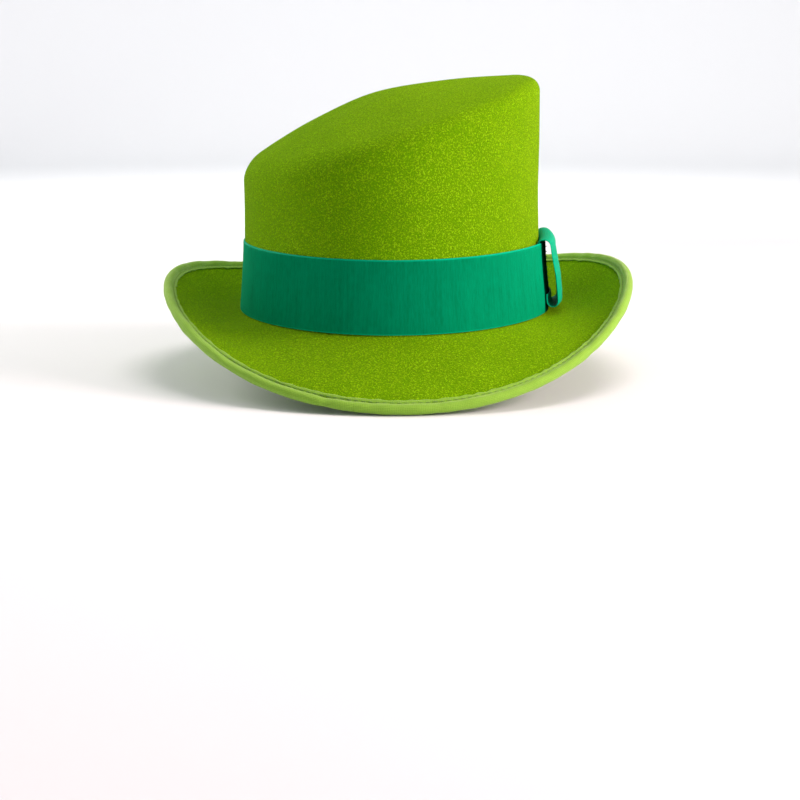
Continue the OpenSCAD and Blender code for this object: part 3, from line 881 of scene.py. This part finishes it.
def build_loop():
    _, _, edge, ribbon = sizes()
    tints = bpy.context.scene.hat_colours
    path = loop_path()
    tangent = unit(np.gradient(path[:, :2], axis=0))
    normal = stack(-tangent[:, 1], tangent[:, 0], 0.0, 0.0)
    length_along = run_length(path[:, :2], 0)
    k = np.linspace(-1, 1, 61)
    edge_distance = (1 - np.abs(k)) * ribbon.loop_width / 2
    half = ribbon.loop_thickness / 2
    rounded = round_edge(edge_distance, half, 0.02)
    ribs = np.cos(length_along * FULL_TURN / ribbon.rib) * ribbon.rib_height * 0.6
    sides = []
    for face in (1, -1):
        thick = face * ((half - ribbon.rib_height) * rounded[None, :] + ribs[:, None])
        p = path[:, None, :] + normal[:, None, :] * thick[..., None]
        sides.append(loop_point(p, k[None, :]))
    grid = np.concatenate([sides[0], sides[1][::-1]])
    u = np.concatenate([length_along, length_along[::-1], [0]])
    v = np.append((k + 1) * ribbon.loop_width / 2, 0)
    uv = stack(u[:, None], v[None, :])
    # Painted light: the loop's rib tops take the lighter loop colour and its grooves the band's top colour
    material = ribbon_look("loop_ribbon", tints.loop, tints.ribbon, tints.selvedge,
                           ribbon.loop_width, 0.5)
    loop = cloth_piece("ribbon_loop", grid, material, close_cols=False,
                       nodes=["band_loop"], uv=uv)
    spots = np.linspace(-0.8, 0.8, 5)
    reach = 1 * MM / (ribbon.loop_width / 2)
    lift = half + edge.thread * 0.6
    over_leg_end, under_foot_end = 9 * MM, -2 * MM
    starts, ends = [], []
    for row, up in ((path[0], over_leg_end), (path[-1], under_foot_end)):
        p = row + [lift, up, 0, 0]
        starts.append(loop_point(p, spots - reach))
        ends.append(loop_point(p, spots + reach))
    starts, ends = np.concatenate(starts), np.concatenate(ends)
    solids, quads = thread_solids(starts, ends, np.tile([1.0, 0, 0], (len(starts), 1)), edge.thread)
    many_solids("loop_stitches", solids, quads, thread_look("loop_thread", tints.ribbon_groove),
                ["loop_stitches"])
    return loop


def hand_stitches(name, out, height, nodes):
    """A ring of hand stitches inside the hat."""
    crown, _, edge, ribbon = sizes()
    count = round(math.pi * (crown.half_width + crown.half_length + 2 * out) / ribbon.hand_pitch)
    t = turns(count)
    u = t + FULL_TURN / count * ribbon.hand_stitch / ribbon.hand_pitch
    inward = stack(-np.cos(t), -np.sin(t), 0.0)
    solids, faces = thread_solids(side(t, out, height), side(u, out, height), inward, edge.thread)
    tint = bpy.context.scene.hat_colours.tape
    many_solids(name, solids, faces, thread_look(name + "_thread", tint), nodes)


def bow_wing(half_width, out, thick, height_at, middle, puff):
    """A crowned slab of ribbon lying on the head ribbon at the back of the hat."""
    crown = sizes()[0]
    k = np.linspace(-1, 1, 61)
    turn = math.pi / 2 + k * half_width / crown.half_width
    section = np.linspace(0, FULL_TURN, 24, endpoint=False)
    across = boxy(np.cos(section), 0.5)
    depth = boxy(np.sin(section), 0.6)
    crease = 1 + puff * np.sin(np.abs(k) * math.pi)[None, :] * (depth[:, None] < 0)
    inside = out + thick / 2 * (1 - depth[:, None] * crease)
    heights = middle + across[:, None] * height_at(k)[None, :] / 2
    return side(turn[None, :], -inside, heights)


def build_head_ribbon():
    crown, brim, edge, ribbon = sizes()
    tints = bpy.context.scene.hat_colours
    seam_room = 0.7 * MM
    near = crown.felt + brim.felt + seam_room
    drop = 1.5 * MM
    material = ribbon_look("sweat_ribbon", tints.ribbon, tints.ribbon_groove, tints.selvedge,
                           ribbon.sweat_width, 0.9)
    t = turns(900)
    band = ribbon_strip("head_ribbon", material, ["sweatband"], side, t, -drop,
                        ribbon.sweat_width - drop, -near - ribbon.sweat_thickness, ribbon.sweat_thickness,
                        0.0, True)
    inner = near + ribbon.sweat_thickness
    hand_stitches("head_ribbon_stitches", -(inner + edge.thread * 0.7), drop, ["sweatband_stitches"])
    hand_stitches("headline_seam_stitches", -(crown.felt + brim.felt + seam_room / 2), brim.collar * 0.6,
                  ["headline_stitches"])
    bow_width, bow_thickness, bow_height = 9 * MM, 1.2 * MM, 11 * MM
    satin = ribbon_look("bow_ribbon", tints.ribbon, tints.ribbon_groove, tints.selvedge, bow_width, 0.4)
    wings = bow_wing(17 * MM, inner + 2 * CLEAR, bow_thickness,
                     lambda k: bow_width * (0.4 + 0.6 * np.abs(k)), bow_height, 0.5)
    knot = bow_wing(2.7 * MM, inner + 1.5 * MM, bow_thickness,
                    lambda k: np.full_like(k, 0.7 * bow_width), bow_height, 0.0)
    bow = cloth_piece("head_ribbon_bow", wings, satin, close_cols=False,
                      nodes=["sweatband_bow"])
    cloth_piece("head_ribbon_bow_knot", knot, satin, close_cols=False)
    return bow


# ---------------------------------------------------------------- stage

def area_light(name, where, target, side_length, watts, tint):
    light = bpy.data.lights.new(name, "AREA")
    light.shape = "DISK"
    light.size = side_length
    light.energy = watts
    light.color = tint
    lamp = bpy.data.objects.new(name, light)
    lamp.location = where
    lamp.rotation_euler = (Vector(target) - Vector(where)).to_track_quat("-Z", "Y").to_euler()
    lamp.visible_camera = False
    bpy.context.scene.collection.objects.link(lamp)


def build_stage():
    scene = bpy.context.scene
    scene.view_settings.view_transform = "Standard"
    world = bpy.data.worlds.new("studio")
    world.use_nodes = True
    background = world.node_tree.nodes["Background"]
    background.inputs["Color"].default_value = (1, 1, 1, 1)
    background.inputs["Strength"].default_value = 0.275
    scene.world = world
    ground = float(CAD_BOX[0][2]) - 0.6 * MM
    flat_radius, bend_width, wall_height = 2.0, 1.2, 2.4
    bend = np.linspace(0, math.pi / 2, 24)
    flat = np.array([0.3, 1.0, 1.9])
    radii = np.concatenate([flat, flat_radius + bend_width * np.sin(bend)])
    rise = np.concatenate([0 * flat, wall_height * (1 - np.cos(bend))])
    a = turns(96)
    points = stack(radii[:, None] * np.cos(a), radii[:, None] * np.sin(a), ground + rise[:, None])
    i, j = grid_faces(len(radii), len(a), False, True)
    quads = (i * len(a) + j % len(a)).tolist()
    mesh = bpy.data.meshes.new("studio_floor")
    mesh.from_pydata(points.reshape(-1, 3).tolist(), [], quads + [list(range(len(a)))])
    mesh.polygons.foreach_set("use_smooth", np.ones(len(mesh.polygons), dtype=bool))
    mesh.materials.append(plain_look("pale_floor", (0.80, 0.83, 0.85), 0.7))
    floor = bpy.data.objects.new("studio_floor", mesh)
    scene.collection.objects.link(floor)
    floor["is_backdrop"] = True
    middle = (0, 0, 0.05)
    # The main light is warm and stands on the loop's side; the far side gets a weaker one from behind
    area_light("key", (1.35, -0.45, 0.55), middle, 0.8, 33, (1, 0.79, 0.80))
    area_light("top", (0.35, 0.2, 1.5), middle, 1.0, 13, (1, 0.90, 0.86))
    area_light("rim", (-1.12, 0.62, 0.65), middle, 0.8, 13, (1, 0.94, 0.88))
    area_light("backdrop", (0, 1.0, 1.2), (0, 3.2, 0.7), 1.6, 22, (1, 1, 1))
    camera_data = bpy.data.cameras.new("camera")
    camera_data.lens = 83.97
    camera_data.sensor_width = 36
    camera = bpy.data.objects.new("camera", camera_data)
    looks_down = math.radians(10.68)
    camera.location = (4.9 * MM, -1090 * MM, 149.4 * MM)
    camera.rotation_euler = (math.pi / 2 - looks_down, 0, 0)
    scene.collection.objects.link(camera)
    scene.camera = camera
    return floor


# ---------------------------------------------------------------- operators

class HatOperator:
    """What the hat's operators share"""
    bl_options = {"REGISTER", "UNDO"}

    def execute(self, context):
        piece = self.build()
        self.report({"INFO"}, "Built " + piece.name)
        return {"FINISHED"}


class HAT_OT_crown(HatOperator, bpy.types.Operator):
    """Build the felt crown"""
    bl_idname = "hat.crown"
    bl_label = "Felt crown"
    build = staticmethod(build_crown)


class HAT_OT_brim(HatOperator, bpy.types.Operator):
    """Build the felt brim"""
    bl_idname = "hat.brim"
    bl_label = "Felt brim"
    build = staticmethod(build_brim)


class HAT_OT_binding(HatOperator, bpy.types.Operator):
    """Build the binding with its stitches, and finish the wire and its joiner"""
    bl_idname = "hat.binding"
    bl_label = "Edge binding"
    build = staticmethod(build_binding)


class HAT_OT_band(HatOperator, bpy.types.Operator):
    """Build the ribbon band and the stitches that join its ends"""
    bl_idname = "hat.band"
    bl_label = "Ribbon band"
    build = staticmethod(build_band)


class HAT_OT_loop(HatOperator, bpy.types.Operator):
    """Build the standing loop and its stitches"""
    bl_idname = "hat.loop"
    bl_label = "Standing loop"
    build = staticmethod(build_loop)


class HAT_OT_head_ribbon(HatOperator, bpy.types.Operator):
    """Build the head ribbon inside the hat, its bow and the hand stitches"""
    bl_idname = "hat.head_ribbon"
    bl_label = "Head ribbon"
    build = staticmethod(build_head_ribbon)


class HAT_OT_stage(HatOperator, bpy.types.Operator):
    """Set out the floor, lights and camera"""
    bl_idname = "hat.stage"
    bl_label = "Stage"
    build = staticmethod(build_stage)


OPERATORS = (HAT_OT_crown, HAT_OT_brim, HAT_OT_binding, HAT_OT_band, HAT_OT_loop, HAT_OT_head_ribbon,
             HAT_OT_stage)


class HAT_PT_panel(bpy.types.Panel):
    """Lists the hat's operators, sizes and colours"""
    bl_label = "Felt hat"
    bl_idname = "HAT_PT_panel"
    bl_space_type = "VIEW_3D"
    bl_region_type = "UI"
    bl_category = "Hat"

    def draw(self, context):
        for operator in OPERATORS:
            self.layout.operator(operator.bl_idname)
        for name in GROUPS:
            group = getattr(context.scene, name)
            column = self.layout.box().column()
            for key in group.bl_rna.properties.keys():
                if key not in ("rna_type", "name"):
                    column.prop(group, key)


GROUPS = {"hat_crown": HatCrownSizes, "hat_brim": HatBrimSizes, "hat_edge": HatEdgeSizes,
          "hat_ribbon": HatRibbonSizes, "hat_colours": HatColours}


def register():
    for cls in (*GROUPS.values(), *OPERATORS, HAT_PT_panel):
        bpy.utils.register_class(cls)
    for name, group in GROUPS.items():
        setattr(bpy.types.Scene, name, bpy.props.PointerProperty(type=group))


def unregister():
    for name in GROUPS:
        delattr(bpy.types.Scene, name)
    for cls in reversed((*GROUPS.values(), *OPERATORS, HAT_PT_panel)):
        bpy.utils.unregister_class(cls)


def main():
    register()
    bpy.ops.hat.crown()
    bpy.ops.hat.brim()
    bpy.ops.hat.binding()
    bpy.ops.hat.band()
    bpy.ops.hat.loop()
    bpy.ops.hat.head_ribbon()
    bpy.ops.hat.stage()
    boxes = {"cad": CAD_BOX, "looks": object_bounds()}
    {name: [[float(x) for x in corner] for corner in box] for name, box in boxes.items()}


if __name__ == "__main__":
    main()
